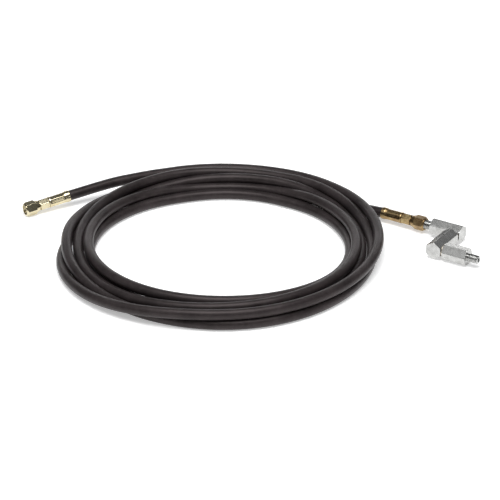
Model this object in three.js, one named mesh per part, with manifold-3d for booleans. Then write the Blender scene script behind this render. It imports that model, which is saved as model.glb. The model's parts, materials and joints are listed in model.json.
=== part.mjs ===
// Grease hose assembly: a coiled rubber hose with a crimped swivel coupling at each end and a
// three-bar Z-swivel on its outlet. Millimetres, +Z up, lying on the plane z = 0.
import * as THREE from "three";
import { mergeVertices } from "three/addons/utils/BufferGeometryUtils.js";
import Module from "manifold-3d";

const wasm = await Module();
wasm.setup();

// ---------- driving dimensions ----------
const GAP = 0.3; // clearance between pieces that touch
const ROUND = 20; // sides of a turned surface
const SMALL_ROUND = 16; // sides of a seal, a washer or a spindle

// hose: 1/4 in bore, 1/2 in outside
const HOSE_R = 6.35;
const COIL = { inner: 149, outer: 200, height: 25.4, corner: 6.35, sides: 48 };

// crimped coupling, measured along its axis from the ferrule's mouth
const FERRULE = {
  bell: 7.3,
  bellEnd: 4.6,
  body: 6.9,
  bodyStart: 5.8,
  length: 28,
  bore: 5.5,
  lip: 4.4,
  wall: 1.9,
};
const CRIMP = { across: 12.9, start: 7, end: 25.4 };
const HOSE_END = { start: 5, end: 25.8 };
const LAYERS = { tube: [3.3, 3.9], braid: [4.1, 4.5], cover: [4.7, 5.2] }; // squeezed by the ferrule
const STEM = {
  tail: 3.1,
  bore: 2,
  groove: 4,
  hexAcross: 12.7,
  hexStart: 28.4,
  hexEnd: 40.2,
  neck: 5,
  tip: 50,
};
const BARB = { count: 4, height: 0.4 };
const SEAT = { start: 47.5, slope: 0.752, contact: 52.8, nose: 4.1, noseTip: 2.4 }; // a 37 degree cone
const NUT = { start: 41, end: 60, hexAcross: 15.88, lip: 7.8, rearBore: 5.3, thread: 5.85, chamber: 50.6 };
const WIRE = { at: 43.6, ring: 5.15, section: 0.45, groove: 1.5 };

// Z-swivel: three bars of 3/4 in hexagon steel
const HEX_ACROSS = 19.05;
const HEX_CORNER = HEX_ACROSS / Math.sqrt(3);
const BAR_CHAMFER = 2.2;
const FLOW_R = 2.2;
const INLET_ARM = { back: 31, front: HEX_ACROSS / 2, neck: 9.5, thread: 5.5 };
const MIDDLE_BAR = { start: 12.3, end: 57.5, crossAt: 49.5 };
const OUTLET_ARM = { start: 12.3, end: 43, nipple: 57, thread: 5.1, neck: 4.5, roll: 20 };

// swivel spindle, measured along its axis from the centre of the bar it turns in
const SPINDLE = { body: 5, tail: -9.1, shankStart: 12.1, shankEnd: 22.2, shank: 4.6, bore: 1.9, port: 3.6 };
const SPINDLE_BORE = 5.3;
const SHANK_BORE = 4.9;
const PORT_R = 1.4;
const SEAL = { at: 3.9, section: 0.6, mid: 4.55, grooveStart: 3, grooveEnd: 6, groove: 3.7 };
const BACKUP = { start: 4.8, end: 5.7, inner: 4.05, outer: 5.1 };
const REAR_POCKET = { depth: 2.6, radius: 7 };
const REAR_WASHER = { start: -7.8, end: -7.3, inner: 5.35, outer: 6.6 };
const CLIP = { start: -8.6, end: -8.1, groove: 4.3, inner: 4.65, outer: 6.2 };
const CLIP_GAP = 44; // degrees that a retaining ring is open
const THRUST_WASHER = { start: 9.85, end: 11.9, inner: 5.35, outer: 7.6 };

// places, from the coil's centre
const INLET = { x: -191.1, y: 133.4, z: 13.7, yaw: 208.5, dip: 5.5 };
const SWIVEL = { x: 281.8, y: 38.8, z: HEX_CORNER, yaw: -32 };
const INLET_TAIL = [
  [-178.3, 140.3, 14.9],
  [-164.4, 147.8, 16.1],
  [-151.9, 154.3, 17.2],
  [-139.5, 160.3, 18.2],
  [-127.3, 165.8, 18.9],
  [-117.6, 170.0, 19.0],
];
const OUTLET_TAIL = [
  [190.8, 95.7, 10.5],
  [179.4, 102.9, 9.5],
];

// ---------- materials ----------
const metal = (color, roughness) => new THREE.MeshStandardMaterial({ color, roughness, metalness: 1 });
const soft = (color, roughness) => new THREE.MeshStandardMaterial({ color, roughness, metalness: 0 });
const hoseRubber = () => soft(0x2b2729, 0.55);
const innerRubber = () => soft(0x1c1b1c, 0.7);
const braidWire = () => metal(0xb0a678, 0.4);
const paleGold = () => metal(0xd9cf9e, 0.25);
const deepGold = () => metal(0xb08b55, 0.3);
const zincPlate = () => metal(0xc4c6c4, 0.35);
const springSteel = () => metal(0x8e8f92, 0.3);
const bronze = () => metal(0xa07a45, 0.45);
const sealRubber = () => soft(0x141414, 0.6);
const ptfe = () => soft(0xe8e6df, 0.5);

// ---------- helpers ----------
function solid(geometry) {
  geometry.deleteAttribute("normal");
  geometry.deleteAttribute("uv");
  const merged = mergeVertices(geometry, 1e-4);
  return new wasm.Manifold(
    new wasm.Mesh({
      numProp: 3,
      vertProperties: merged.attributes.position.array,
      triVerts: new Uint32Array(merged.index.array),
    }),
  );
}

function geometryOf(body) {
  const mesh = body.getMesh();
  const geometry = new THREE.BufferGeometry();
  geometry.setAttribute("position", new THREE.BufferAttribute(mesh.vertProperties, 3));
  geometry.setIndex(new THREE.BufferAttribute(mesh.triVerts, 1));
  const flat = geometry.toNonIndexed();
  flat.computeVertexNormals();
  return flat;
}

function node(name, geometry, material) {
  const mesh = new THREE.Mesh(geometry, material);
  mesh.name = name;
  return mesh;
}

// A profile of [distance along +X, radius] pairs turned round the X axis.
function turned(profile, sides = ROUND) {
  const points = profile.map(([along, radius]) => new THREE.Vector2(radius, along));
  return new THREE.LatheGeometry(points, sides).rotateZ(-Math.PI / 2);
}

function closedRing(profile, sides = ROUND) {
  return turned([...profile, profile[0]], sides);
}

function rod(start, end, radius, sides = ROUND) {
  return solid(turned([[start, 0], [start, radius], [end, radius], [end, 0]], sides));
}

// A prism of a regular polygon along +X; a corner points along +Z, turned by roll degrees.
function prism(sides, across, start, end, roll = 0) {
  const corner = across / 2 / Math.cos(Math.PI / sides);
  const shape = new THREE.Shape();
  for (let i = 0; i < sides; i += 1) {
    const angle = THREE.MathUtils.degToRad(90 + roll) + (2 * Math.PI * i) / sides;
    const y = corner * Math.cos(angle);
    const z = corner * Math.sin(angle);
    if (i === 0) shape.moveTo(y, z);
    else shape.lineTo(y, z);
  }
  const geometry = new THREE.ExtrudeGeometry(shape, { depth: end - start, bevelEnabled: false });
  geometry.rotateX(Math.PI / 2).rotateZ(Math.PI / 2);
  geometry.translate(start, 0, 0);
  return solid(geometry);
}

// A length of hexagon bar with turned chamfers on both ends.
function hexBar(across, start, end, chamfer, roll = 0) {
  const corner = across / Math.sqrt(3) + 0.01;
  const turning = solid(
    turned([
      [start, 0],
      [start, corner - chamfer],
      [start + chamfer, corner],
      [end - chamfer, corner],
      [end, corner - chamfer],
      [end, 0],
    ], 24),
  );
  return prism(6, across, start, end, roll).intersect(turning);
}

function ringSection(at, radius, section, steps) {
  const profile = [];
  for (let i = 0; i < steps; i += 1) {
    const angle = (2 * Math.PI * i) / steps;
    profile.push([at - section * Math.cos(angle), radius + section * Math.sin(angle)]);
  }
  return closedRing(profile, SMALL_ROUND);
}

// ---------- hose ----------
function coilGeometry() {
  const { inner, outer, height, corner, sides } = COIL;
  const profile = [];
  const corners = [
    [outer - corner, corner, -90],
    [outer - corner, height - corner, 0],
    [inner + corner, height - corner, 90],
    [inner + corner, corner, 180],
  ];
  const steps = 2;
  for (const [radius, rise, from] of corners) {
    for (let i = 0; i <= steps; i += 1) {
      const angle = THREE.MathUtils.degToRad(from + (90 * i) / steps);
      profile.push(new THREE.Vector2(radius + corner * Math.cos(angle), rise + corner * Math.sin(angle)));
    }
  }
  profile.push(profile[0].clone());
  return new THREE.LatheGeometry(profile, sides).rotateX(Math.PI / 2);
}

function hoseTube(points, stepLength) {
  const curve = new THREE.CatmullRomCurve3(points, false, "centripetal");
  const sides = 10;
  const section = new THREE.Shape();
  for (let i = 0; i < sides; i += 1) {
    const angle = (2 * Math.PI * (i + 0.5)) / sides;
    const x = HOSE_R * Math.cos(angle);
    const y = HOSE_R * Math.sin(angle);
    if (i === 0) section.moveTo(x, y);
    else section.lineTo(x, y);
  }
  const steps = Math.max(2, Math.ceil(curve.getLength() / stepLength));
  return new THREE.ExtrudeGeometry(section, { steps, bevelEnabled: false, extrudePath: curve });
}

// The hose leaves a ferrule straight along the ferrule's axis and then follows the route.
function hoseTail(coupling, route) {
  coupling.updateMatrixWorld(true);
  const onAxis = (along) => coupling.localToWorld(new THREE.Vector3(along, 0, 0));
  const mouth = [onAxis(HOSE_END.start - GAP), onAxis(-2)];
  const rest = route.map(([x, y, z]) => new THREE.Vector3(x, y, z));
  return hoseTube([...mouth, ...rest], 2 * HOSE_R);
}

// ---------- crimped coupling ----------
function ferruleGeometry() {
  const { bell, bellEnd, body, bodyStart, length, bore, lip, wall } = FERRULE;
  const bellBore = HOSE_R + GAP;
  const shell = solid(
    closedRing([
      [0, bellBore],
      [0, bell - 0.3],
      [0.4, bell],
      [bellEnd, bell],
      [bodyStart, body],
      [length - 0.6, body],
      [length, body - 0.6],
      [length, lip],
      [length - wall, lip],
      [length - wall, bore],
      [HOSE_END.start, bore],
      [HOSE_END.start, bellBore],
    ]),
  );
  const around = rod(CRIMP.start, CRIMP.end, body + 2);
  const die = prism(8, CRIMP.across, CRIMP.start - 1, CRIMP.end + 1);
  return geometryOf(shell.subtract(around.subtract(die)));
}

function stemGeometry() {
  const { tail, bore, groove, hexAcross, hexStart, hexEnd, neck, tip } = STEM;
  const root = tail - BARB.height;
  const profile = [
    [HOSE_END.start, bore],
    [HOSE_END.start, root],
  ];
  const pitch = (HOSE_END.end - HOSE_END.start) / (BARB.count + 1);
  for (let i = 1; i <= BARB.count; i += 1) {
    const crest = HOSE_END.start + i * pitch;
    profile.push([crest, tail], [crest + 0.3, root]);
  }
  profile.push(
    [HOSE_END.end + GAP, root],
    [HOSE_END.end + GAP, groove],
    [hexStart, groove],
    [hexStart, neck],
    [WIRE.at - WIRE.groove / 2, neck],
    [WIRE.at - WIRE.groove / 2, neck - 0.6],
    [WIRE.at + WIRE.groove / 2, neck - 0.6],
    [WIRE.at + WIRE.groove / 2, neck],
    [tip, neck],
    [tip, bore + (tip - SEAT.start) * SEAT.slope],
    [SEAT.start, bore],
  );
  const shaft = solid(closedRing(profile));
  const wrenchHex = hexBar(hexAcross, hexStart, hexEnd, 0.9);
  return geometryOf(wrenchHex.subtract(rod(hexStart - 1, hexEnd + 1, bore)).add(shaft));
}

function nutGeometry() {
  const { start, end, hexAcross, lip, rearBore, thread, chamber } = NUT;
  const corner = hexAcross / Math.sqrt(3) + 0.01;
  const turning = solid(
    turned([
      [start, 0],
      [start, 6.4],
      [start + 2.6, 8.1],
      [start + 3.8, corner],
      [end - 5.2, corner],
      [end - 3.8, 8],
      [end - 3.4, lip],
      [end - 0.5, lip],
      [end, lip - 0.5],
      [end, 0],
    ], 24),
  );
  const bore = solid(
    turned([
      [start - 1, 0],
      [start - 1, rearBore],
      [WIRE.at - WIRE.groove / 2, rearBore],
      [WIRE.at - WIRE.groove / 2, rearBore + 0.65],
      [WIRE.at + WIRE.groove / 2, rearBore + 0.65],
      [WIRE.at + WIRE.groove / 2, rearBore],
      [chamber, rearBore],
      [chamber + 0.5, thread],
      [end + 1, thread],
      [end + 1, 0],
    ]),
  );
  return geometryOf(prism(6, hexAcross, start, end, 30).intersect(turning).subtract(bore));
}

// One layer of the hose where the ferrule grips it.
function layerGeometry([inner, outer]) {
  const { start, end } = HOSE_END;
  return closedRing([[start, inner], [start, outer], [end, outer], [end, inner]], SMALL_ROUND);
}

function makeCoupling(end, plating) {
  const group = new THREE.Group();
  group.add(
    node(`${end}_ferrule`, ferruleGeometry(), plating()),
    node(`${end}_stem`, stemGeometry(), plating()),
    node(`${end}_swivel_nut`, nutGeometry(), plating()),
    node(`${end}_nut_wire`, ringSection(WIRE.at, WIRE.ring, WIRE.section, 6), springSteel()),
    node(`${end}_hose_inner_tube`, layerGeometry(LAYERS.tube), innerRubber()),
    node(`${end}_hose_wire_braid`, layerGeometry(LAYERS.braid), braidWire()),
    node(`${end}_hose_cover`, layerGeometry(LAYERS.cover), hoseRubber()),
  );
  return group;
}

// ---------- Z-swivel ----------
// The hole a spindle turns in, along X through the origin, with the pocket for its retaining ring.
function spindleBore(halfWidth) {
  const pocketFloor = -halfWidth + REAR_POCKET.depth;
  return rod(-halfWidth - 1, halfWidth + 1, SPINDLE_BORE).add(
    rod(-halfWidth - 1, pocketFloor, REAR_POCKET.radius),
  );
}

function inletArmGeometry() {
  const { back, front, neck, thread } = INLET_ARM;
  const seat = -back - neck - (NUT.end - SEAT.contact);
  const noseTip = seat - SEAT.nose;
  const stub = solid(
    turned([
      [noseTip, 0],
      [noseTip, SEAT.noseTip],
      [seat, thread],
      [-back + 1, thread],
      [-back + 1, 0],
    ]),
  );
  const bar = hexBar(HEX_ACROSS, -back, front, BAR_CHAMFER);
  const flow = rod(noseTip - 1, 0, FLOW_R);
  const cross = spindleBore(HEX_ACROSS / 2).rotate([0, 0, -90]);
  return geometryOf(bar.add(stub).subtract(flow).subtract(cross));
}

function middleBarGeometry() {
  const { start, end, crossAt } = MIDDLE_BAR;
  const bar = hexBar(HEX_ACROSS, start, end, BAR_CHAMFER);
  const shank = rod(start - 1, SPINDLE.shankEnd + GAP, SHANK_BORE);
  const flow = rod(start, crossAt, FLOW_R);
  const cross = spindleBore(HEX_ACROSS / 2).rotate([0, 0, 90]).translate([crossAt, 0, 0]);
  return geometryOf(bar.subtract(shank).subtract(flow).subtract(cross));
}

function outletArmGeometry() {
  const { start, end, nipple, thread, neck, roll } = OUTLET_ARM;
  const bar = hexBar(HEX_ACROSS, start, end, BAR_CHAMFER, roll);
  const stub = solid(
    turned([
      [end - 1, 0],
      [end - 1, neck],
      [end + 2.2, neck],
      [end + 3, thread],
      [nipple - 0.8, thread - 0.2],
      [nipple, thread - 0.8],
      [nipple, 0],
    ]),
  );
  const shank = rod(start - 1, SPINDLE.shankEnd + GAP, SHANK_BORE);
  const flow = rod(start, nipple + 1, FLOW_R);
  return geometryOf(bar.add(stub).subtract(shank).subtract(flow));
}

function spindleGeometry() {
  const { body, tail, shankStart, shankEnd, shank, bore, port } = SPINDLE;
  const clipMid = (CLIP.start + CLIP.end) / 2;
  const clipHalf = (CLIP.end - CLIP.start) / 2 + GAP / 2;
  const outside = solid(
    turned([
      [tail, 0],
      [tail, body - 0.4],
      [clipMid - clipHalf, body - 0.4],
      [clipMid - clipHalf, CLIP.groove],
      [clipMid + clipHalf, CLIP.groove],
      [clipMid + clipHalf, body],
      [-SEAL.grooveEnd, body],
      [-SEAL.grooveEnd, SEAL.groove],
      [-SEAL.grooveStart, SEAL.groove],
      [-SEAL.grooveStart, body],
      [-2, body],
      [-2, port],
      [2, port],
      [2, body],
      [SEAL.grooveStart, body],
      [SEAL.grooveStart, SEAL.groove],
      [SEAL.grooveEnd, SEAL.groove],
      [SEAL.grooveEnd, body],
      [shankStart, body],
      [shankStart, shank],
      [shankEnd, shank],
      [shankEnd, 0],
    ], SMALL_ROUND),
  );
  const flow = rod(-1.6, shankEnd + 1, bore, 12);
  const portHole = rod(-port - 1, port + 1, PORT_R, 10);
  const levelPort = portHole.rotate([0, 0, 90]);
  const uprightPort = portHole.rotate([0, 90, 0]);
  return geometryOf(outside.subtract(flow).subtract(levelPort).subtract(uprightPort));
}

function washerGeometry({ start, end, inner, outer }) {
  return closedRing([[start, inner], [start, outer], [end, outer], [end, inner]], SMALL_ROUND);
}

function clipGeometry() {
  const { start, end, inner, outer } = CLIP;
  const gapHalf = THREE.MathUtils.degToRad(CLIP_GAP / 2);
  const shape = new THREE.Shape();
  shape.absarc(0, 0, outer, gapHalf, 2 * Math.PI - gapHalf, false);
  shape.absarc(0, 0, inner, 2 * Math.PI - gapHalf, gapHalf, true);
  shape.closePath();
  const geometry = new THREE.ExtrudeGeometry(shape, {
    depth: end - start,
    bevelEnabled: false,
    curveSegments: 12,
  });
  return geometry.rotateY(Math.PI / 2).translate(start, 0, 0);
}

// Everything that turns in one bar: the hollow spindle, its seals and what holds it in.
function makeSpindleSet(joint) {
  const group = new THREE.Group();
  const { start, end, inner, outer } = BACKUP;
  const rearBackup = { start: -end, end: -start, inner, outer };
  group.add(
    node(`${joint}_spindle`, spindleGeometry(), zincPlate()),
    node(`${joint}_front_o_ring`, ringSection(SEAL.at, SEAL.mid, SEAL.section, 6), sealRubber()),
    node(`${joint}_rear_o_ring`, ringSection(-SEAL.at, SEAL.mid, SEAL.section, 6), sealRubber()),
    node(`${joint}_front_backup_ring`, washerGeometry(BACKUP), ptfe()),
    node(`${joint}_rear_backup_ring`, washerGeometry(rearBackup), ptfe()),
    node(`${joint}_thrust_washer`, washerGeometry(THRUST_WASHER), bronze()),
    node(`${joint}_rear_washer`, washerGeometry(REAR_WASHER), springSteel()),
    node(`${joint}_retaining_ring`, clipGeometry(), springSteel()),
  );
  return group;
}

// ---------- assembly, about the coil's centre ----------
const assembly = new THREE.Group();
const degrees = THREE.MathUtils.degToRad;

const inletCoupling = makeCoupling("inlet", paleGold);
inletCoupling.rotation.set(0, degrees(INLET.dip), degrees(INLET.yaw), "ZYX");
inletCoupling.position.set(INLET.x, INLET.y, INLET.z);

const swivel = new THREE.Group();
swivel.position.set(SWIVEL.x, SWIVEL.y, SWIVEL.z);
swivel.rotation.z = degrees(SWIVEL.yaw);

const outletCoupling = makeCoupling("outlet", deepGold);
outletCoupling.position.x = -INLET_ARM.back - INLET_ARM.neck - NUT.end;
swivel.add(outletCoupling, node("inlet_arm", inletArmGeometry(), zincPlate()));

const firstJoint = makeSpindleSet("first");
firstJoint.rotation.z = -Math.PI / 2;
firstJoint.add(node("middle_bar", middleBarGeometry(), zincPlate()));

const secondJoint = makeSpindleSet("second");
secondJoint.position.y = -MIDDLE_BAR.crossAt;
secondJoint.add(node("outlet_arm", outletArmGeometry(), zincPlate()));
swivel.add(firstJoint, secondJoint);

assembly.add(inletCoupling, swivel);

// The frame's origin is under the middle of the fittings' box; the hose is added after it is found.
assembly.updateMatrixWorld(true);
const fittings = new THREE.Box3().setFromObject(assembly, true);
const middle = fittings.getCenter(new THREE.Vector3());

assembly.add(
  node("hose_coil", coilGeometry(), hoseRubber()),
  node("hose_inlet_tail", hoseTail(inletCoupling, INLET_TAIL), hoseRubber()),
  node("hose_outlet_tail", hoseTail(outletCoupling, OUTLET_TAIL), hoseRubber()),
);
assembly.position.set(-middle.x, -middle.y, -fittings.min.z);

const part = new THREE.Group();
part.add(assembly);
export default part;
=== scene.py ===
"""Grease hose assembly: a coiled rubber hose, a crimped swivel coupling on each end and a Z-swivel.

Metres, +Z up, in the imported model's frame. The fittings' own sizes are in millimetres: each is made
along +X of a frame of its own and then placed.
"""
import json
import math

import bmesh
import bpy
import numpy as np
from mathutils import Matrix, Vector


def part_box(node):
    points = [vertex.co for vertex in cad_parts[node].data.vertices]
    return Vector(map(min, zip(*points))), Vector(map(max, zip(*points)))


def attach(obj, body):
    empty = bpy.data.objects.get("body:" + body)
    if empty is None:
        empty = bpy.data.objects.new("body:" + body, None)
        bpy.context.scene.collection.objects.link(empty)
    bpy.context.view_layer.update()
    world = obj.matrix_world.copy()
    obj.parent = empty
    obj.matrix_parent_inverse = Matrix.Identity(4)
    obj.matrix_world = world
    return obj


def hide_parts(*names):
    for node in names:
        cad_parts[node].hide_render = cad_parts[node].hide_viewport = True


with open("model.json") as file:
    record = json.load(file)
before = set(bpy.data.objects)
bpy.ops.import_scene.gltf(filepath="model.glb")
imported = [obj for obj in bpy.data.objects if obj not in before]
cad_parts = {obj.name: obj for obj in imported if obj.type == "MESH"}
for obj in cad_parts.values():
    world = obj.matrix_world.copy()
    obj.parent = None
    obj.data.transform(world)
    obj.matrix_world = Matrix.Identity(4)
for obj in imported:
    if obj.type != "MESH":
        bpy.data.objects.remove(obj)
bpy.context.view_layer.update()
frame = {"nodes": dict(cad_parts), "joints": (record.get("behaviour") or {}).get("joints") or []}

MM = 0.001

# ---------- places, all worked out from the frame ----------
coil_low, coil_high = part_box("hose_coil")
COIL_CENTRE = Vector(((coil_low.x + coil_high.x) / 2, (coil_low.y + coil_high.y) / 2, 0))
JOINTS = {joint["name"]: joint for joint in frame["joints"]}


def joint_point(name):
    return Vector(JOINTS[name]["pos_m"])


def joint_axis(name):
    return Vector(JOINTS[name]["axis"]).normalized()


def along_axis(point, axis):
    """A frame at point with +X along axis, +Y level and +Z as near up as it can be."""
    across = Vector((0, 0, 1)).cross(axis).normalized()
    up = axis.cross(across)
    turn = Matrix((axis, across, up)).transposed().to_4x4()
    return Matrix.Translation(point) @ turn


# ---------- camera ----------
CAMERA_UP = 27.4  # degrees above the horizon
CAMERA_FAR = 3.0  # metres
CAMERA_AIM = (0.0337, 0.0138)  # from the coil's centre, on the floor, in metres
CAMERA_LENS = 180.0  # millimetres, as is the sensor's width
CAMERA_SENSOR = 36.0


def make_camera():
    data = bpy.data.cameras.new("camera")
    data.lens = CAMERA_LENS
    data.sensor_width = CAMERA_SENSOR
    camera = bpy.data.objects.new("camera", data)
    bpy.context.scene.collection.objects.link(camera)
    up = math.radians(CAMERA_UP)
    back = Vector((0, -math.cos(up), math.sin(up)))
    aim = COIL_CENTRE + Vector((*CAMERA_AIM, 0))
    camera.location = aim + CAMERA_FAR * back
    camera.rotation_euler = (-back).to_track_quat("-Z", "Y").to_euler()
    bpy.context.scene.camera = camera


make_camera()

# ---------- hose route ----------
HOSE_R = 6.35 * MM
HOSE_GAP = 0.05 * MM  # between strands that lie against each other
HOSE_STEP = 4 * MM  # between the rings of the hose's mesh
HOSE_SIDES = 28
FLOOR = HOSE_R  # the lowest that the hose's middle line goes
STEPS_PER_TURN = 48
TURNS = 5
COIL_START = 112  # degrees round the coil, counter-clockwise from +X, where the turns begin
COIL_END = 58  # where the last turn leaves along a tangent

# The hose's route outside the turns, from the coil's centre, in millimetres: from the inlet
# ferrule to the first turn, and from the last turn to the outlet ferrule.
INLET_TAIL = [
    (-178.3, 140.3, 14.9),
    (-164.4, 147.8, 16.1),
    (-151.9, 154.3, 17.2),
    (-139.5, 160.3, 18.2),
    (-127.3, 165.8, 18.9),
    (-117.6, 170.0, 19.0),
    (-107.0, 174.7, 19.1),
    (-96.4, 179.2, 19.1),
    (-85.6, 183.4, 19.1),
]
OUTLET_TAIL = [
    (168.0, 110.0, 7.4),
    (179.4, 102.9, 9.5),
    (190.8, 95.7, 10.5),
]

# One turn of hose after another, clockwise seen from above. Each lane gives, at angles round the
# coil, the radius and the height that the hose keeps to, in millimetres.
TOP = 19.05  # the upper of the two layers
LOW = 6.35  # the lower one, on the floor
LANES = [
    [(112, 201.5, TOP), (90, 200.5, TOP), (60, 200.5, TOP), (42, 198, TOP), (27, 193, TOP),
     (0, 185, TOP), (-14, 180.5, TOP), (-26, 177.5, TOP), (-54, 178.5, TOP), (-90, 180.5, TOP),
     (-108, 178, 18), (-124, 183, 12), (-135, 191.5, LOW), (-150, 200.5, LOW), (-167, 201, LOW),
     (-178, 193, LOW), (-195, 177, LOW), (-220, 174, LOW), (-240, 175.5, 13)],
    [(90, 172.5, TOP), (60, 175, TOP), (35, 172, 14), (15, 167, LOW), (0, 166, LOW),
     (-26, 163.5, LOW), (-54, 162, LOW), (-90, 158, LOW), (-135, 156, LOW), (-165, 155.5, LOW),
     (-195, 160.5, LOW), (-208, 163, LOW), (-226, 157, LOW), (-247, 153.5, LOW)],
    [(90, 154.5, LOW), (68, 161, LOW), (40, 158, LOW), (0, 153, LOW), (-30, 152.5, 9),
     (-55, 148, 17), (-90, 145, TOP), (-117, 148.5, TOP), (-135, 153, TOP), (-150, 155, TOP),
     (-164, 158, TOP), (-180, 160, TOP), (-200, 161.5, TOP), (-215, 162.5, TOP),
     (-230, 164, 14), (-246, 166, 9)],
    [(90, 168, LOW), (70, 170, 9), (45, 164.5, 15), (20, 161, TOP), (0, 160, TOP),
     (-30, 160, TOP), (-60, 163, 17), (-75, 161.5, 16), (-90, 160.5, TOP), (-115, 162.5, 14),
     (-140, 168, LOW), (-160, 168.5, LOW), (-175, 170, 12), (-189, 169.5, 17.5),
     (-195, 171.5, TOP), (-210, 176, TOP), (-230, 183, TOP), (-250, 186, TOP)],
    [(90, 186.5, TOP), (60, 187.5, TOP), (35, 186.5, TOP), (15, 181.5, 12), (0, 179, LOW),
     (-26, 176, LOW), (-54, 179.5, LOW), (-75, 184.5, LOW), (-90, 184.5, LOW), (-115, 180, LOW),
     (-130, 174.5, LOW), (-145, 181, 8), (-158, 184, 11.5), (-170, 187, 18), (-182, 187, TOP),
     (-204, 187, TOP), (-220, 191, 15), (-236, 191, 11), (-252, 186, 7)],
]

LEAVING = (90, 182.3, LOW)  # the mark from which the last turn keeps its radius until COIL_END

# Where a strand is held up over the outlet's tail, which passes under it: the turn, from and to, as
# degrees turned through in it, and the least height in millimetres.
BRIDGES = [(0, 56, 98, 20.7), (1, 34, 74, 17.5), (4, 46, 88, 20.4)]

# How the turns settle. In each round a strand goes a little way back to its lane, is eased, and is
# pushed out of the strands that it runs into. The last rounds only push.
LANE_PASSES = 6
BRIDGE_PASSES = 3
ROUNDS = 260
LAST_ROUNDS = 60
PULL = 0.04  # of the way back to the lane
PUSH = 0.25  # of the overlap, for each of the two strands


def lane_targets():
    """The angle turned through at every step of the turns, and the radius and height there."""
    marks = []
    for turn, lane in enumerate([*LANES, [LEAVING, (COIL_END, *LEAVING[1:])]]):
        marks += [(360 * turn + COIL_START - angle, radius, height) for angle, radius, height in lane]
    marks = np.array(marks)
    swept = np.arange(0, marks[-1, 0] + 0.1, 360 / STEPS_PER_TURN)
    radius = np.interp(swept, marks[:, 0], marks[:, 1]) * MM
    height = np.interp(swept, marks[:, 0], marks[:, 2]) * MM
    return swept, radius, height


def eased(values, passes):
    """The values smoothed along their row, with both ends kept."""
    for _ in range(passes):
        middle = (values[:-2] + 2 * values[1:-1] + values[2:]) / 4
        values = np.concatenate([values[:1], middle, values[-1:]])
    return values


def least_heights(swept):
    """How low the hose's middle line may go at every step of the turns."""
    least = np.full(len(swept), FLOOR)
    for turn, start, end, height in BRIDGES:
        least[(swept >= 360 * turn + start) & (swept <= 360 * turn + end)] = height * MM
    return np.maximum(eased(least, BRIDGE_PASSES), FLOOR)


def parted(swept, radius, height):
    """The turns again, moved apart where strands at the same angle would run into each other."""
    lane_radius, lane_height = eased(radius, LANE_PASSES), eased(height, LANE_PASSES)
    radius, height = lane_radius.copy(), lane_height.copy()
    least = least_heights(swept)
    clear = 2 * HOSE_R + HOSE_GAP
    for done in range(ROUNDS):
        if done < ROUNDS - LAST_ROUNDS:
            radius += PULL * (lane_radius - radius)
            height += PULL * (lane_height - height)
            radius, height = eased(radius, 1), eased(height, 1)
        for apart in range(1, TURNS + 1):
            gap = apart * STEPS_PER_TURN
            across = radius[gap:] - radius[:-gap]
            up = height[gap:] - height[:-gap]
            far = np.maximum(np.hypot(across, up), 1e-6)
            push = PUSH * np.maximum(clear - far, 0) / far
            radius[gap:] += push * across
            radius[:-gap] -= push * across
            height[gap:] += push * up
            height[:-gap] -= push * up
        height = np.maximum(height, least)
    return radius, height


def smooth_line(points, step):
    """A centripetal Catmull-Rom curve through points, as points about step apart."""
    points = np.array(points, float)
    before, after = 2 * points[0] - points[1], 2 * points[-1] - points[-2]
    points = np.concatenate([[before], points, [after]])
    line = []
    for p0, p1, p2, p3 in zip(points, points[1:], points[2:], points[3:]):
        t1 = np.linalg.norm(p1 - p0) ** 0.5
        t2 = t1 + np.linalg.norm(p2 - p1) ** 0.5
        t3 = t2 + np.linalg.norm(p3 - p2) ** 0.5
        count = max(1, round(np.linalg.norm(p2 - p1) / step))
        for t in t1 + (t2 - t1) * np.arange(count) / count:
            a1 = (t1 - t) / t1 * p0 + t / t1 * p1
            a2 = (t2 - t) / (t2 - t1) * p1 + (t - t1) / (t2 - t1) * p2
            a3 = (t3 - t) / (t3 - t2) * p2 + (t - t2) / (t3 - t2) * p3
            b1 = (t2 - t) / t2 * a1 + t / t2 * a2
            b2 = (t3 - t) / (t3 - t1) * a2 + (t - t1) / (t3 - t1) * a3
            line.append((t2 - t) / (t2 - t1) * b1 + (t - t1) / (t2 - t1) * b2)
    line.append(points[-2])
    return np.array(line)


# ---------- places of the couplings and the swivel ----------
COUPLING_LENGTH = 60.0  # from the ferrule's bell to the nut's mouth
HOSE_GRIPPED = 5.0  # how far the hose goes into a ferrule before its layers are pieces of their own
CLEARANCE = 0.3  # between the hose's end and those layers
NUT_JOINT_AT = 50.0  # along the inlet coupling from the ferrule's bell
ARM_BACK = 31.0  # from the first swivel's axis to the inlet arm's back face
STUB_SHOWN = 9.5  # of the inlet arm's stub, between the outlet nut's mouth and that face
HOSE_STRAIGHT = 2.0  # how far the hose runs straight outside a ferrule
INLET_AXIS = joint_axis("inlet_nut_turn")
INLET = along_axis(joint_point("inlet_nut_turn") - NUT_JOINT_AT * MM * INLET_AXIS, INLET_AXIS)
SWIVEL = along_axis(joint_point("first_swivel"), joint_axis("second_swivel"))
OUTLET = SWIVEL @ Matrix.Translation((-(ARM_BACK + STUB_SHOWN + COUPLING_LENGTH) * MM, 0, 0))
FIRST = along_axis(joint_point("first_swivel"), joint_axis("first_swivel"))
SECOND = along_axis(joint_point("second_swivel"), joint_axis("second_swivel"))


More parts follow.
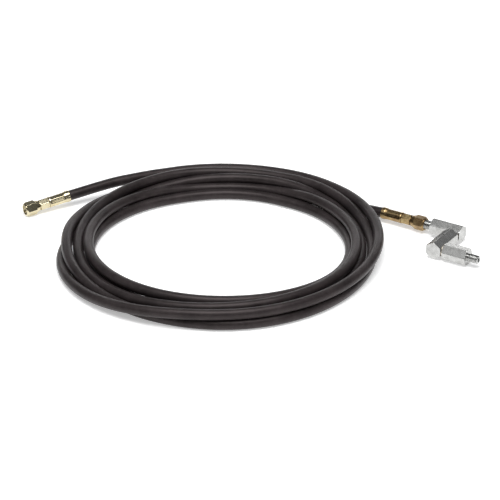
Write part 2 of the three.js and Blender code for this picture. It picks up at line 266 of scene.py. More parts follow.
def hose_route():
    """The hose's middle line, from inside the inlet ferrule to inside the outlet ferrule."""
    swept, radius, height = lane_targets()
    radius, height = parted(swept, radius, height)
    angle = np.radians(COIL_START - swept)
    turns = np.stack([radius * np.cos(angle), radius * np.sin(angle), height], axis=1)
    centre = np.array(COIL_CENTRE)
    inside = Vector(((HOSE_GRIPPED - CLEARANCE) * MM, 0, 0))
    outside = Vector((-HOSE_STRAIGHT * MM, 0, 0))
    stretches = [
        [INLET @ inside, INLET @ outside],
        np.array(INLET_TAIL) * MM + centre,
        turns + centre,
        np.array(OUTLET_TAIL) * MM + centre,
        [OUTLET @ outside, OUTLET @ inside],
    ]
    return smooth_line(np.concatenate(stretches), HOSE_STEP)


# ---------- the hose ----------
def add_piece(name, vertices, faces, body, place=None):
    """A new piece of a body, with its vertices in metres in the frame of its place."""
    mesh = bpy.data.meshes.new(name)
    mesh.from_pydata([tuple(v) for v in vertices], [], [tuple(f) for f in faces])
    mesh.validate()
    piece = bpy.data.objects.new(name, mesh)
    bpy.context.scene.collection.objects.link(piece)
    if place is not None:
        piece.matrix_world = place
    mesh.shade_smooth()
    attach(piece, body)
    return piece


def tube(line, radius, sides):
    """A tube with flat ends: its vertices, faces, face corners' (along, around) and its length."""
    tangent = np.gradient(line, axis=0)
    tangent /= np.linalg.norm(tangent, axis=1)[:, None]
    side = np.cross(tangent[0], (0, 0, 1.0))
    side /= np.linalg.norm(side)
    along = np.concatenate([[0], np.cumsum(np.linalg.norm(np.diff(line, axis=0), axis=1))])
    around = 2 * math.pi * np.arange(sides) / sides
    vertices = []
    for point, forward in zip(line, tangent):
        side = side - forward * (side @ forward)
        side /= np.linalg.norm(side)
        up = np.cross(forward, side)
        ring = np.cos(around)[:, None] * side + np.sin(around)[:, None] * up
        vertices.append(point + radius * ring)
    vertices = np.concatenate(vertices)
    faces = []
    marks = []
    width = 2 * math.pi * radius / sides
    for i, (here, there) in enumerate(zip(along, along[1:])):
        low, high = i * sides, (i + 1) * sides
        for j in range(sides):
            k = (j + 1) % sides
            near, far = width * j, width * (j + 1)
            faces.append((low + j, low + k, high + k, high + j))
            marks.append([(here, near), (here, far), (there, far), (there, near)])
    last = (len(line) - 1) * sides
    faces.append(tuple(range(sides))[::-1])
    faces.append(tuple(range(last, last + sides)))
    marks += [[(0, 0)] * sides, [(along[-1], 0)] * sides]
    return vertices, faces, marks, along[-1]


def make_hose():
    line = hose_route()
    vertices, faces, marks, length = tube(line, HOSE_R, HOSE_SIDES)
    hose = add_piece("hose", vertices, faces, "hose_assembly")
    layer = hose.data.uv_layers.new(name="hose_metres")
    flat = [pair for face in marks for pair in face]
    layer.data.foreach_set("uv", [value for pair in flat for value in pair])
    for face in hose.data.polygons[-2:]:
        face.use_smooth = False
    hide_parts("hose_coil", "hose_inlet_tail", "hose_outlet_tail")
    return hose


hose = make_hose()

# ---------- materials ----------
# Scales of the noises and waves: the larger, the finer. Bump heights are in metres.
CLOTH_LINES = 900
MOTTLE = 34
DUST = 260
RUBBER_GRAIN = 900
PLATING_GRAIN = 700
TOOL_MARKS = 160
WIRE_LINES = 420


class Graph:
    """A material's nodes, made with short calls."""

    def __init__(self, name, roughness, metallic=0.0):
        self.material = bpy.data.materials.new(name)
        self.material.use_nodes = True
        self.tree = self.material.node_tree
        self.shader = self.tree.nodes["Principled BSDF"]
        self.shader.inputs["Roughness"].default_value = roughness
        self.shader.inputs["Metallic"].default_value = metallic

    def add(self, kind, inputs=(), **settings):
        made = self.tree.nodes.new(kind)
        for key, value in settings.items():
            setattr(made, key, value)
        for key, value in dict(inputs).items():
            if isinstance(value, bpy.types.NodeSocket):
                self.tree.links.new(value, made.inputs[key])
            else:
                made.inputs[key].default_value = value
        return made

    def place(self, scale, uv=False):
        source = self.add("ShaderNodeTexCoord").outputs["UV" if uv else "Object"]
        return self.add("ShaderNodeMapping", {"Vector": source, "Scale": scale}).outputs[0]

    def noise(self, scale, detail, stretch=(1, 1, 1)):
        inputs = {"Vector": self.place(stretch), "Scale": scale, "Detail": detail}
        return self.add("ShaderNodeTexNoise", inputs).outputs["Fac"]

    def ramp(self, value, stops):
        made = self.add("ShaderNodeValToRGB", {"Fac": value})
        points = made.color_ramp.elements
        while len(points) < len(stops):
            points.new(0.5)
        for point, (position, colour) in zip(points, stops):
            point.position = position
            point.color = (*colour, 1)
        return made.outputs["Color"]

    def span(self, value, low, high):
        made = self.add("ShaderNodeMapRange", {"Value": value, "To Min": low, "To Max": high})
        return made.outputs[0]

    def math(self, operation, a, b):
        return self.add("ShaderNodeMath", {0: a, 1: b}, operation=operation).outputs[0]

    def mixed(self, a, share, b):
        """A share of a, and the rest of b."""
        rest = round(1 - share, 6)
        return self.math("ADD", self.math("MULTIPLY", a, share), self.math("MULTIPLY", b, rest))

    def bump(self, height, strength, distance, before=None):
        inputs = {"Height": height, "Strength": strength, "Distance": distance}
        if before is not None:
            inputs["Normal"] = before
        return self.add("ShaderNodeBump", inputs).outputs[0]

    def set(self, **sockets):
        for name, value in sockets.items():
            self.tree.links.new(value, self.shader.inputs[name.replace("_", " ")])
        return self.material


def hose_rubber():
    """Smooth black cover with the fine print of the cloth it was cured in, and a little dust."""
    g = Graph("hose_rubber", 0.5)
    g.shader.inputs["Specular IOR Level"].default_value = 0.25
    g.shader.inputs["Specular Tint"].default_value = (1.0, 0.88, 0.88, 1.0)
    cloth = []
    for direction in ((CLOTH_LINES, CLOTH_LINES, 1), (CLOTH_LINES, -CLOTH_LINES, 1)):
        wave = g.add(
            "ShaderNodeTexWave",
            {"Vector": g.place(direction, uv=True), "Scale": 0.5, "Distortion": 0.4},
            bands_direction="DIAGONAL",
        )
        cloth.append(wave.outputs["Fac"])
    weave = g.math("MULTIPLY", cloth[0], cloth[1])
    mottle = g.noise(MOTTLE, 5)
    dust = g.noise(DUST, 4, stretch=(1, 1, 0.6))
    colour = g.ramp(mottle, [(0.3, (0.015, 0.012, 0.0122)), (0.7, (0.034, 0.0275, 0.028))])
    dusty = g.ramp(dust, [(0.42, (0, 0, 0)), (0.8, (0.009, 0.008, 0.0075))])
    mixed = g.add(
        "ShaderNodeMix", {"Factor": 1.0, "A": colour, "B": dusty}, data_type="RGBA", blend_type="ADD"
    )
    rough = g.span(dust, 0.3, 0.44)
    normal = g.bump(weave, 0.35, 0.00015, g.bump(mottle, 0.3, 0.0005))
    return g.set(Base_Color=mixed.outputs[2], Roughness=rough, Normal=normal)


def plain_rubber(name, dark):
    """Moulded rubber or plastic with a fine grain, from dark to a little lighter."""
    g = Graph(name, 0.6)
    grain = g.noise(RUBBER_GRAIN, 4)
    colour = g.ramp(grain, [(0.3, (dark, dark, dark)), (0.7, (dark * 1.7, dark * 1.6, dark * 1.6))])
    return g.set(Base_Color=colour, Roughness=g.span(grain, 0.5, 0.7), Normal=g.bump(grain, 0.2, 0.0001))


def plated(name, stops, rough, patch=90):
    """Bright plating over drawn steel: patchy colour, with a grain and fine lines along the piece."""
    g = Graph(name, rough[0], metallic=1.0)
    cloud = g.noise(patch, 4)
    grain = g.noise(PLATING_GRAIN, 5)
    lines = g.noise(TOOL_MARKS, 3, stretch=(0.04, 8, 8))
    colour = g.ramp(g.mixed(cloud, 0.75, grain), stops)
    roughness = g.span(g.mixed(lines, 0.6, grain), *rough)
    normal = g.bump(lines, 0.25, 0.00006, g.bump(grain, 0.12, 0.00008))
    return g.set(Base_Color=colour, Roughness=roughness, Normal=normal)


def braid_wire():
    """Brass-coated steel wires that cross each other on the slant."""
    g = Graph("braid_wire", 0.35, metallic=1.0)
    crossed = [
        g.add(
            "ShaderNodeTexWave",
            {"Vector": g.place((1, slant, slant)), "Scale": WIRE_LINES, "Distortion": 0.0},
            bands_direction="DIAGONAL",
        ).outputs["Fac"]
        for slant in (1, -1)
    ]
    wires = g.math("MAXIMUM", crossed[0], crossed[1])
    colour = g.ramp(wires, [(0.2, (0.16, 0.13, 0.08)), (0.8, (0.62, 0.55, 0.38))])
    return g.set(Base_Color=colour, Normal=g.bump(wires, 0.6, 0.0002))


MATERIALS = {
    "hose_rubber": hose_rubber(),
    "inner_rubber": plain_rubber("inner_rubber", 0.012),
    "seal_rubber": plain_rubber("seal_rubber", 0.009),
    "braid_wire": braid_wire(),
    "inlet_plating": plated(
        "inlet_plating",
        [(0.3, (0.46, 0.38, 0.21)), (0.48, (0.6, 0.53, 0.35)), (0.7, (0.72, 0.66, 0.49))],
        (0.1, 0.24),
    ),
    "outlet_plating": plated(
        "outlet_plating",
        [(0.3, (0.15, 0.09, 0.042)), (0.5, (0.3, 0.205, 0.1)), (0.72, (0.48, 0.38, 0.2))],
        (0.2, 0.38),
    ),
    "zinc_plate": plated(
        "zinc_plate",
        [(0.3, (0.38, 0.38, 0.37)), (0.5, (0.46, 0.46, 0.45)), (0.7, (0.56, 0.56, 0.55))],
        (0.2, 0.34),
        patch=160,
    ),
    "spring_steel": plated(
        "spring_steel", [(0.3, (0.22, 0.22, 0.24)), (0.7, (0.42, 0.42, 0.44))], (0.2, 0.34)
    ),
    "bronze": plated(
        "bronze", [(0.3, (0.4, 0.36, 0.29)), (0.7, (0.58, 0.53, 0.45))], (0.3, 0.46)
    ),
    "ptfe": plain_rubber("ptfe", 0.45),
}


def finish_of(piece, slot):
    """Gives a piece a record's material slot and the material of that name."""
    piece.data.materials.clear()
    piece.data.materials.append(MATERIALS[slot])


finish_of(hose, "hose_rubber")

# ---------- turned pieces ----------
ROUNDING = (0, 0.25, 0.5, 0.75, 1)  # places along a rounded corner
FACET_STEP = 0.16  # between rings where a profile slopes through a polygon's corners
THREAD_STEP = 0.13
THREAD_REACH = 0.4  # how near its crest's radius a thread cuts
SHARPNESS = 70  # of a polygon's corners
SHARP_FROM = 32  # degrees between faces


def blunted(profile, radius, closed):
    """A profile of (along, radius) pairs in millimetres with its corners rounded off."""
    count = len(profile)
    most = 0.45  # of an edge's length, so that the corners at its two ends stay apart
    out = []
    for i, corner in enumerate(profile):
        if not closed and i in (0, count - 1):
            out.append(corner)
            continue
        before, after = np.array(profile[i - 1]), np.array(profile[(i + 1) % count])
        here = np.array(corner, float)
        back, on = before - here, after - here
        back_far, on_far = np.linalg.norm(back), np.linalg.norm(on)
        reach = min(radius, most * back_far, most * on_far)
        start, end = here + back / back_far * reach, here + on / on_far * reach
        for t in ROUNDING:
            out.append(tuple((1 - t) ** 2 * start + 2 * t * (1 - t) * here + t * t * end))
    return out


def divided(profile, fine, closed):
    """The profile again with each stretch cut up in the steps that fine() asks for, or left whole."""
    out = []
    pairs = list(zip(profile, profile[1:] + profile[:1]))
    for (x0, r0), (x1, r1) in pairs if closed else pairs[:-1]:
        out.append((x0, r0))
        step = fine((x0 + x1) / 2, (r0 + r1) / 2, abs(x1 - x0), abs(r1 - r0))
        if step:
            count = max(1, round(math.hypot(x1 - x0, r1 - r0) / step))
            out += [(x0 + (x1 - x0) * i / count, r0 + (r1 - r0) * i / count) for i in range(1, count)]
    if not closed:
        out.append(profile[-1])
    return out


def around_angles(corners, roll, per_flat):
    """Angles round the axis, closer together near a polygon's corners."""
    sector = 2 * math.pi / corners
    first = math.radians(90 + roll)
    share = [(1 - math.cos(math.pi * i / per_flat)) / 2 for i in range(per_flat)]
    return np.array([first + sector * (k + s) for k in range(corners) for s in share])


def flats(corners, across, roll, sharpness=SHARPNESS):
    """A polygon's radius in millimetres at each angle, with slightly rounded corners."""
    normals = np.radians(90 + roll) + 2 * math.pi * (np.arange(corners) + 0.5) / corners

    def radius(angles):
        facing = np.clip(np.cos(np.subtract.outer(angles, normals)), 1e-6, None)
        return across / 2 * np.sum(facing**sharpness, axis=1) ** (-1 / sharpness)

    return radius


def lesser(a, b):
    """The smaller of two radii, with a smooth change from one to the other."""
    return (a ** (-SHARPNESS) + b ** (-SHARPNESS)) ** (-1 / SHARPNESS)


def thread(start, end, crest, pitch, depth, inside=False):
    """A screw thread in millimetres. Its cut is how deep the groove is along and round the axis."""
    crest_flat = 0.15  # the groove starts this much lower than a plain V, and is clipped at its root
    fade_in, fade_out = 0.6 * pitch, 0.9 * pitch

    def cut(x, angles):
        turn = (x / pitch + angles / (2 * math.pi)) % 1
        groove = np.clip((1.2 + crest_flat) * (1 - np.abs(2 * turn - 1)) - crest_flat, 0, 1)
        fade = np.clip(min((x - start) / fade_in, (end - x) / fade_out), 0, 1)
        return depth * fade * groove * (-1 if inside else 1)

    return {"start": start, "end": end, "crest": crest, "cut": cut}


def turned(
    name, profile, body, place, slot, closed=False, polygon=None, threads=(), blunt=0.18, angles=None
):
    """A piece turned round +X from a profile in millimetres, with flats and threads where asked.

    A closed profile comes back to its start, and any other starts and ends on the axis. A polygon
    shapes the profile beyond its radius "from", and its "step" cuts up the long stretches there.
    """
    if angles is None:
        angles = np.linspace(0, 2 * math.pi, 96, endpoint=False)

    def fine(x, r, along, outward):
        if polygon and r > polygon["from"] and outward > 0.2:
            return FACET_STEP
        if polygon and r > polygon["from"] and along > 1:
            return polygon["step"]
        for t in threads:
            if t["start"] - 0.01 <= x <= t["end"] + 0.01 and abs(r - t["crest"]) < THREAD_REACH:
                return THREAD_STEP
        return 0

    rings = []
    for x, r in divided(blunted(profile, blunt, closed), fine, closed):
        if r < 1e-6:
            rings.append([(x * MM, 0, 0)])
            continue
        radii = np.full(len(angles), float(r))
        if polygon and r > polygon["from"]:
            radii = polygon["shape"](x, radii, angles)
        for t in threads:
            if t["start"] <= x <= t["end"] and abs(r - t["crest"]) < THREAD_REACH:
                radii = radii - t["cut"](x, angles)
        rings.append(
            [(x * MM, q * math.cos(a) * MM, q * math.sin(a) * MM) for q, a in zip(radii, angles)]
        )
    piece = add_piece(name, sum(rings, []), skin(rings, closed), body, place)
    outward(piece.data)
    crisp(piece)
    finish_of(piece, slot)
    return piece


def skin(rings, closed):
    """Faces from each ring of points to the next. A ring of one point is a tip."""
    starts = [0]
    for ring in rings:
        starts.append(starts[-1] + len(ring))
    count = max(len(ring) for ring in rings)
    pairs = [(i, i + 1) for i in range(len(rings) - 1)]
    if closed:
        pairs.append((len(rings) - 1, 0))
    faces = []
    for low, high in pairs:
        a, b = starts[low], starts[high]
        for j in range(count):
            k = (j + 1) % count
            if len(rings[low]) == 1:
                faces.append((a, b + j, b + k))
            elif len(rings[high]) == 1:
                faces.append((a + j, b, a + k))
            else:
                faces.append((a + j, b + j, b + k, a + k))
    return faces


def outward(mesh):
    """Turns the faces to point out."""
    shape = bmesh.new()
    shape.from_mesh(mesh)
    bmesh.ops.recalc_face_normals(shape, faces=shape.faces)
    shape.to_mesh(mesh)
    shape.free()


def crisp(piece):
    """Smooth shading that leaves the large faces flat and the sharp edges sharp."""
    piece.data.shade_smooth()
    piece.data.set_sharp_from_angle(angle=math.radians(SHARP_FROM))
    flat = piece.modifiers.new("flat faces", "WEIGHTED_NORMAL")
    flat.keep_sharp = True


def drilled(piece, cutter):
    """Cuts the cutter, made in the piece's own frame, out of it."""
    cutter.matrix_world = piece.matrix_world
    piece.modifiers.clear()
    cut = piece.modifiers.new("bore", "BOOLEAN")
    cut.operation = "DIFFERENCE"
    cut.solver = "EXACT"
    cut.object = cutter
    bpy.context.view_layer.update()
    result = bpy.data.meshes.new_from_object(
        piece.evaluated_get(bpy.context.evaluated_depsgraph_get())
    )
    piece.modifiers.clear()
    old = piece.data
    piece.data = result
    bpy.data.meshes.remove(old)
    bpy.data.objects.remove(cutter)
    crisp(piece)


def cross_cutter(at, sign):
    """A spindle's bore through a bar, at a place along it, with a pocket at the bore's rear end."""
    past = HALF + 1  # the cutter reaches out of both faces
    pocket = HALF - REAR_POCKET_DEEP
    edge = HALF - 0.35  # where the rounding of each bore's edge starts
    profile = [
        (-past, 0), (-past, REAR_POCKET_R + 0.9), (-HALF, REAR_POCKET_R + 0.25), (-edge, REAR_POCKET_R),
        (-pocket, REAR_POCKET_R), (-pocket, SPINDLE_BORE_R), (edge, SPINDLE_BORE_R),
        (HALF, SPINDLE_BORE_R + 0.3), (past, SPINDLE_BORE_R + 1), (past, 0),
    ]
    angles = np.linspace(0, 2 * math.pi, 72, endpoint=False)
    rings = [[(profile[0][0], 0, 0)]]
    for along, radius in profile[1:-1]:
        rings.append([(along, radius * math.cos(a), radius * math.sin(a)) for a in angles])
    rings.append([(profile[-1][0], 0, 0)])
    placed = [(at * MM - sign * y * MM, sign * x * MM, z * MM) for x, y, z in sum(rings, [])]
    mesh = bpy.data.meshes.new("cutter")
    mesh.from_pydata(placed, [], skin(rings, closed=False))
    cutter = bpy.data.objects.new("cutter", mesh)
    bpy.context.scene.collection.objects.link(cutter)
    outward(mesh)
    return cutter


# ---------- Z-swivel ----------
# Places along a bar or a spindle are measured from the swivel's axis that it is placed on.
HEX = 19.05  # across the bars' flats
HALF = HEX / 2
HEX_CORNER = HEX / math.sqrt(3)
CHAMFER = 0.8
FLOW_R = 2.2
BAR_START = 12.3  # the face of a bar that turns, next to the bar that holds its spindle
SHANK_BORE_R = 4.9
SHANK_DEEP = 22.5
SPINDLE_BORE_R = 5.3
REAR_POCKET_R = 7.0
REAR_POCKET_DEEP = 2.6
STUB_SEAT = ARM_BACK + 16.7
STUB_NOSE = ARM_BACK + 20.8
STUB_R = 5.5
STUB_PITCH = 1.27
CROSS_AT = 49.5  # of the second swivel's axis, along the middle bar
MIDDLE_END = 57.5
OUTLET_END = 43.0
NIPPLE_END = 57.0
NIPPLE_R = 5.1
NIPPLE_PITCH = 0.94
NIPPLE_ROLL = 20.0  # degrees that the outlet arm's hexagon is rolled by
SPINDLE_R = 5.0
SPINDLE_SHANK_R = 4.6
SPINDLE_FLOW_R = 1.9
SPINDLE_SHANK = (12.1, 22.2)  # screwed into the bar that turns
SPINDLE_GROOVES = ((6, 3, 3.7), (2, -2, 3.6), (-3, -6, 3.7))  # seals, cross holes, seals
RING_GROOVE = (-7.95, -8.75, 4.3)


def hex_flats(across, roll=0.0, start_at=0.0):
    """A hexagon beyond a radius, for turned()."""
    radius = flats(6, across, roll)
    return {
        "from": start_at or across / 2 * 0.9,
        "shape": lambda x, r, angles: lesser(r, radius(angles)),
        "step": 0,
    }


def bar_ends(start, end):
    """The chamfered outline of a hexagon bar between its two faces, past its corners in between."""
    low, high = HEX_CORNER - CHAMFER, HEX_CORNER + 0.7
    rise = high - low
    return [(start, low), (start + rise, high), (end - rise, high), (end, low)]


def make_inlet_arm():
    """The bar that holds the first spindle, with a flared stub in the outlet nut."""
    relief, relief_r = -ARM_BACK - 1.1, 4.75
    profile = [
        (0, 0), (0, FLOW_R), (-STUB_NOSE, FLOW_R), (-STUB_NOSE, FLOW_R + 0.2), (-STUB_SEAT, STUB_R),
        (relief - 0.5, STUB_R), (relief, relief_r), (-ARM_BACK, relief_r), *bar_ends(-ARM_BACK, HALF),
        (HALF, 0),
    ]
    arm = turned(
        "swivel_inlet_arm", profile, "hose_assembly", SWIVEL, "zinc_plate",
        polygon=hex_flats(HEX),
        threads=[thread(-STUB_SEAT, relief - 0.6, STUB_R, STUB_PITCH, depth=0.62)],
        angles=around_angles(6, 0, per_flat=22),
    )
    drilled(arm, cross_cutter(0, -1))
    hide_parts("inlet_arm")


def make_middle_bar():
    """The bar that turns on the first spindle and holds the second."""
    profile = [
        (CROSS_AT, 0), (CROSS_AT, FLOW_R), (SHANK_DEEP, FLOW_R), (SHANK_DEEP, SHANK_BORE_R),
        (BAR_START, SHANK_BORE_R), *bar_ends(BAR_START, MIDDLE_END), (MIDDLE_END, 0),
    ]
    bar = turned(
        "swivel_middle_bar", profile, "middle_bar", FIRST, "zinc_plate",
        polygon=hex_flats(HEX), angles=around_angles(6, 0, per_flat=22),
    )
    drilled(bar, cross_cutter(CROSS_AT, 1))
    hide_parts("middle_bar")


def make_outlet_arm():
    """The bar that turns on the second spindle, with the male nipple."""
    neck_r = 4.5
    thread_start, thread_end = OUTLET_END + 2.9, NIPPLE_END - 0.9
    profile = [
        (NIPPLE_END, FLOW_R + 0.4), (NIPPLE_END - 0.5, FLOW_R), (SHANK_DEEP, FLOW_R),
        (SHANK_DEEP, SHANK_BORE_R), (BAR_START, SHANK_BORE_R), *bar_ends(BAR_START, OUTLET_END),
        (OUTLET_END, neck_r), (OUTLET_END + 2.2, neck_r), (OUTLET_END + 2.8, NIPPLE_R),
        (thread_end, NIPPLE_R - 0.1), (NIPPLE_END, NIPPLE_R - 0.9),
    ]
    arm = turned(
        "swivel_outlet_arm", profile, "outlet_arm", SECOND, "zinc_plate", closed=True,
        polygon=hex_flats(HEX, NIPPLE_ROLL),
        threads=[thread(thread_start, thread_end, NIPPLE_R - 0.05, NIPPLE_PITCH, depth=0.55)],
        angles=around_angles(6, NIPPLE_ROLL, per_flat=22),
    )
    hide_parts("outlet_arm")


def make_washer(joint, kind, start, end, outer, body, place, slot):
    """A flat ring round a spindle, from start to end along it."""
    inner = SPINDLE_R + 0.35
    profile = [(start, inner), (start, outer), (end, outer), (end, inner)]
    washer = turned(f"{joint}_swivel_{kind}", profile, body, place, slot, closed=True, blunt=0.12)
    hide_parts(f"{joint}_{kind}")


def make_retaining_ring(joint, body, place):
    """An open ring of flat spring wire, a little wider at its two ends, in the spindle's groove."""
    start, end, inner, outer = -8.6, -8.1, 4.65, 6.2
    gap, eye, eye_rise = 22, math.radians(16), 0.35
    angles = np.radians(np.linspace(gap, 360 - gap, 73))
    vertices = []
    for a in angles:
        near_end = max(0.0, 1 - min(a - angles[0], angles[-1] - a) / eye)
        reach = outer + eye_rise * near_end
        for x, r in ((start, inner), (start, reach), (end, reach), (end, inner)):
            vertices.append((x * MM, r * math.cos(a) * MM, r * math.sin(a) * MM))
    faces = [(0, 1, 2, 3)]
    for i in range(len(angles) - 1):
        for j in range(4):
            k = (j + 1) % 4
            faces.append((4 * i + j, 4 * i + 4 + j, 4 * i + 4 + k, 4 * i + k))
    last = 4 * (len(angles) - 1)
    faces.append((last + 3, last + 2, last + 1, last))
    ring = add_piece(f"{joint}_swivel_retaining_ring", vertices, faces, body, place)
    outward(ring.data)
    edges = ring.modifiers.new("edges", "BEVEL")
    edges.width = 0.08 * MM
    edges.segments = 2
    finish_of(ring, "spring_steel")
    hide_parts(f"{joint}_retaining_ring")


def make_spindle(joint, body, place):
    """A hollow spindle: shank, body with its grooves, and a tail with the retaining ring's groove."""
    shank, shank_end = SPINDLE_SHANK
    mouth, tail, tail_hole = -1.6, -9.1, -8.3
    profile = [
        (mouth, 0), (mouth, SPINDLE_FLOW_R), (shank_end, SPINDLE_FLOW_R), (shank_end, SPINDLE_SHANK_R),
        (shank, SPINDLE_SHANK_R), (shank, SPINDLE_R),
    ]
    for start, end, radius in SPINDLE_GROOVES:
        profile += [(start, SPINDLE_R), (start, radius), (end, radius), (end, SPINDLE_R)]
    start, end, radius = RING_GROOVE
    profile += [
        (start, SPINDLE_R), (start, radius), (end, radius), (end, SPINDLE_SHANK_R), (tail, 4.4),
        (tail, 1.7), (tail_hole, 1.1), (tail_hole, 0),
    ]
    spindle = turned(f"{joint}_swivel_spindle", profile, body, place, "zinc_plate", blunt=0.12)
    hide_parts(f"{joint}_spindle")


make_inlet_arm()
make_middle_bar()
make_outlet_arm()
for joint, body, place in (("first", "middle_bar", FIRST), ("second", "outlet_arm", SECOND)):
    make_spindle(joint, body, place)
    make_washer(joint, "thrust_washer", 9.85, 11.9, 7.6, body, place, "bronze")
    make_washer(joint, "rear_washer", -7.8, -7.3, 6.6, body, place, "spring_steel")
    make_retaining_ring(joint, body, place)

# ---------- crimped couplings ----------
# Places along a coupling are measured from its ferrule's bell mouth.
FERRULE_R = 6.9
FERRULE_END = 28.0
BELL_R = 7.3
CRIMP_ACROSS = 12.9
CRIMP_SHARPNESS = 50  # of its corners, softer than a machined polygon's
CRIMP = (6.2, 26.2)  # from and to, along the ferrule
HOSE_LAYERS_R = 5.5  # of the pocket for the hose's layers
TAIL_COLLAR = 26.1  # where the stem's collar starts, just past those layers
COLLAR_R = 4.0
STEM_HEX = 12.7
STEM_HEX_PLACE = (28.4, 40.2)
STEM_FLOW_R = 2.0
NECK_R = 5.0
WIRE_GROOVE = (42.85, 44.35)
WIRE_GROOVE_R = 4.4
SEAT = 50.0
NUT_HEX = 15.88
NUT_ROLL = 30.0
NUT_BACK = 41.0
NUT_FLATS = (47.2, 57.2)
NUT_THREAD_R = 5.85  # the crest of the thread in the nut


def crimp(x, r, angles):
    """Eight flats pressed into the ferrule, easing in and out at their ends."""
    pressed = flats(8, CRIMP_ACROSS, 0, CRIMP_SHARPNESS)(angles)
    ease = 1.4
    share = np.clip(min((x - CRIMP[0]) / ease, (CRIMP[1] - x) / ease), 0, 1)
    share = share * share * (3 - 2 * share)
    return r * (1 - share) + lesser(r, pressed) * share


def make_ferrule(end, place, slot):
    """The sleeve over the hose: bell mouth, crimped body, and a shoulder round the stem's collar."""
    start, finish = CRIMP
    grip = FERRULE_R - 0.25
    collar_bore = COLLAR_R + 0.4
    profile = [
        (0.6, grip), (0, 6.95), (0, BELL_R - 0.15), (0.4, BELL_R), (1.5, BELL_R), (4.4, BELL_R),
        (5.4, 6.95), (start, FERRULE_R), (finish, FERRULE_R), (FERRULE_END - 0.5, 6.75),
        (FERRULE_END, 6.2), (FERRULE_END, collar_bore), (TAIL_COLLAR, collar_bore),
        (TAIL_COLLAR, HOSE_LAYERS_R), (HOSE_GRIPPED, HOSE_LAYERS_R), (HOSE_GRIPPED, grip),
    ]
    ferrule = turned(
        f"{end}_crimped_ferrule", profile, "hose_assembly", place, slot, closed=True,
        polygon={"from": 6.72, "shape": crimp, "step": 1.2}, angles=around_angles(8, 0, per_flat=14),
    )
    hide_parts(f"{end}_ferrule")


def make_stem(end, place, slot):
    """The part of the stem that shows: collar, wrench hexagon, neck with the wire's groove, seat."""
    corner = STEM_HEX / math.sqrt(3)
    low, high = corner - 0.9, corner + 0.6
    rise = 0.7 * (high - low)
    start, finish = STEM_HEX_PLACE
    wire, wire_end = WIRE_GROOVE
    profile = [
        (TAIL_COLLAR, STEM_FLOW_R), (TAIL_COLLAR, COLLAR_R), (start, COLLAR_R), (start, low),
        (start + rise, high), (finish - rise, high), (finish, low), (finish, NECK_R), (wire, NECK_R),
        (wire, WIRE_GROOVE_R), (wire_end, WIRE_GROOVE_R), (wire_end, NECK_R), (SEAT, NECK_R),
        (SEAT, 3.9), (SEAT - 2.5, STEM_FLOW_R),
    ]
    stem = turned(
        f"{end}_coupling_stem", profile, "hose_assembly", place, slot, closed=True,
        polygon=hex_flats(STEM_HEX, start_at=5.6), angles=around_angles(6, 0, per_flat=18), blunt=0.14,
    )
    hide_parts(f"{end}_stem")


def make_nut(end, place, slot, body):
    """The swivel nut: tapered back, six flats, round lip at its mouth, and a thread inside."""
    corner = NUT_HEX / math.sqrt(3) + 0.5
    shoulder, lip = 8.0, 7.1
    bore = NECK_R + 0.3
    start, finish = NUT_FLATS
    mouth = COUPLING_LENGTH
    profile = [
        (NUT_BACK, bore), (NUT_BACK, 6.2), (NUT_BACK + 0.6, 6.7), (45.8, shoulder), (start, corner),
        (finish, corner), (58.5, shoulder), (59.2, 7.8), (mouth, lip), (mouth, 6.5),
        (mouth - 0.7, NUT_THREAD_R), (51.1, NUT_THREAD_R), (50.6, bore),
    ]
    nut = turned(
        f"{end}_coupling_nut", profile, body, place, slot, closed=True,
        polygon=hex_flats(NUT_HEX, NUT_ROLL, start_at=lip),
        threads=[thread(51.2, mouth - 0.7, NUT_THREAD_R, STUB_PITCH, depth=0.5, inside=True)],
        angles=around_angles(6, NUT_ROLL, per_flat=20), blunt=0.14,
    )
    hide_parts(f"{end}_swivel_nut")


for end, place, nut_body in (("inlet", INLET, "inlet_nut"), ("outlet", OUTLET, "hose_assembly")):
    make_ferrule(end, place, f"{end}_plating")
    make_stem(end, place, f"{end}_plating")
    make_nut(end, place, f"{end}_plating", nut_body)

# The sealed inner pieces keep their CAD shape and take a finished material, by how their names end.
INNER = {
    "nut_wire": "spring_steel",
    "hose_inner_tube": "inner_rubber",
    "hose_wire_braid": "braid_wire",
    "hose_cover": "hose_rubber",
    "front_o_ring": "seal_rubber",
    "rear_o_ring": "seal_rubber",
    "front_backup_ring": "ptfe",
    "rear_backup_ring": "ptfe",
}
for name, node in frame["nodes"].items():
    for ending, slot in INNER.items():
        if name.endswith(ending):
            finish_of(node, slot)

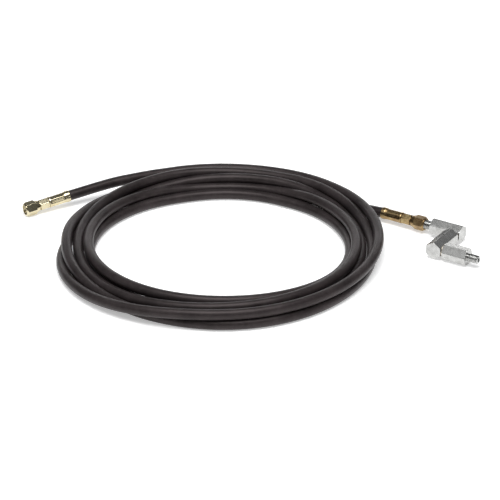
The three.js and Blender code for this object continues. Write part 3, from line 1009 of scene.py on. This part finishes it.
# ---------- studio ----------
# Soft lights that face the origin: name, place, width and height in metres, and watts.
LIGHTS = (
    ("overhead", (0.0, -0.7, 2.5), 2.0, 1.7, 70),
    ("back", (0.0, 2.6, 0.8), 3.6, 0.5, 17),
    ("side", (2.24, -1.72, 0.6), 1.6, 0.4, 5),
    ("left", (-1.6, -0.7, 1.75), 1.5, 1.5, 3.5),
    ("right", (1.7, 1.6, 1.85), 1.4, 1.4, 0.9),
)
WORLD_COLOUR = (0.95, 0.97, 1.0, 1.0)
WORLD_STRENGTH = 0.13
FLOOR_COLOUR = (0.93, 0.93, 0.93, 1)
FLOOR_GLOW = 0.4  # lit from below, like a light table
FLOOR_REACH = 6.0  # metres each way
FLOOR_DROP = 0.4 * MM  # below the pieces that rest on it, so that no face lies in its plane


def make_floor():
    mesh = bpy.data.meshes.new("floor")
    far = FLOOR_REACH
    corners = [(-far, -far, 0), (far, -far, 0), (far, far, 0), (-far, far, 0)]
    mesh.from_pydata(corners, [], [(0, 1, 2, 3)])
    floor = bpy.data.objects.new("floor", mesh)
    bpy.context.scene.collection.objects.link(floor)
    floor.location.z = -FLOOR_DROP
    material = bpy.data.materials.new("floor")
    material.use_nodes = True
    shader = material.node_tree.nodes["Principled BSDF"]
    shader.inputs["Base Color"].default_value = FLOOR_COLOUR
    shader.inputs["Roughness"].default_value = 0.9
    shader.inputs["Emission Color"].default_value = (1, 1, 1, 1)
    shader.inputs["Emission Strength"].default_value = FLOOR_GLOW
    mesh.materials.append(material)


def make_studio():
    make_floor()
    scene = bpy.context.scene
    scene.view_settings.view_transform = "Standard"
    world = bpy.data.worlds.new("studio")
    scene.world = world
    world.use_nodes = True
    world.node_tree.nodes["Background"].inputs["Color"].default_value = WORLD_COLOUR
    world.node_tree.nodes["Background"].inputs["Strength"].default_value = WORLD_STRENGTH
    for name, place, width, height, watts in LIGHTS:
        data = bpy.data.lights.new(name, "AREA")
        data.shape = "RECTANGLE"
        data.size = width
        data.size_y = height
        data.energy = watts
        light = bpy.data.objects.new(name, data)
        scene.collection.objects.link(light)
        light.visible_camera = False
        light.location = place
        light.rotation_euler = (-Vector(place)).to_track_quat("-Z", "Y").to_euler()


make_studio()

# ---------- update the view layer ---
bpy.context.view_layer.update()
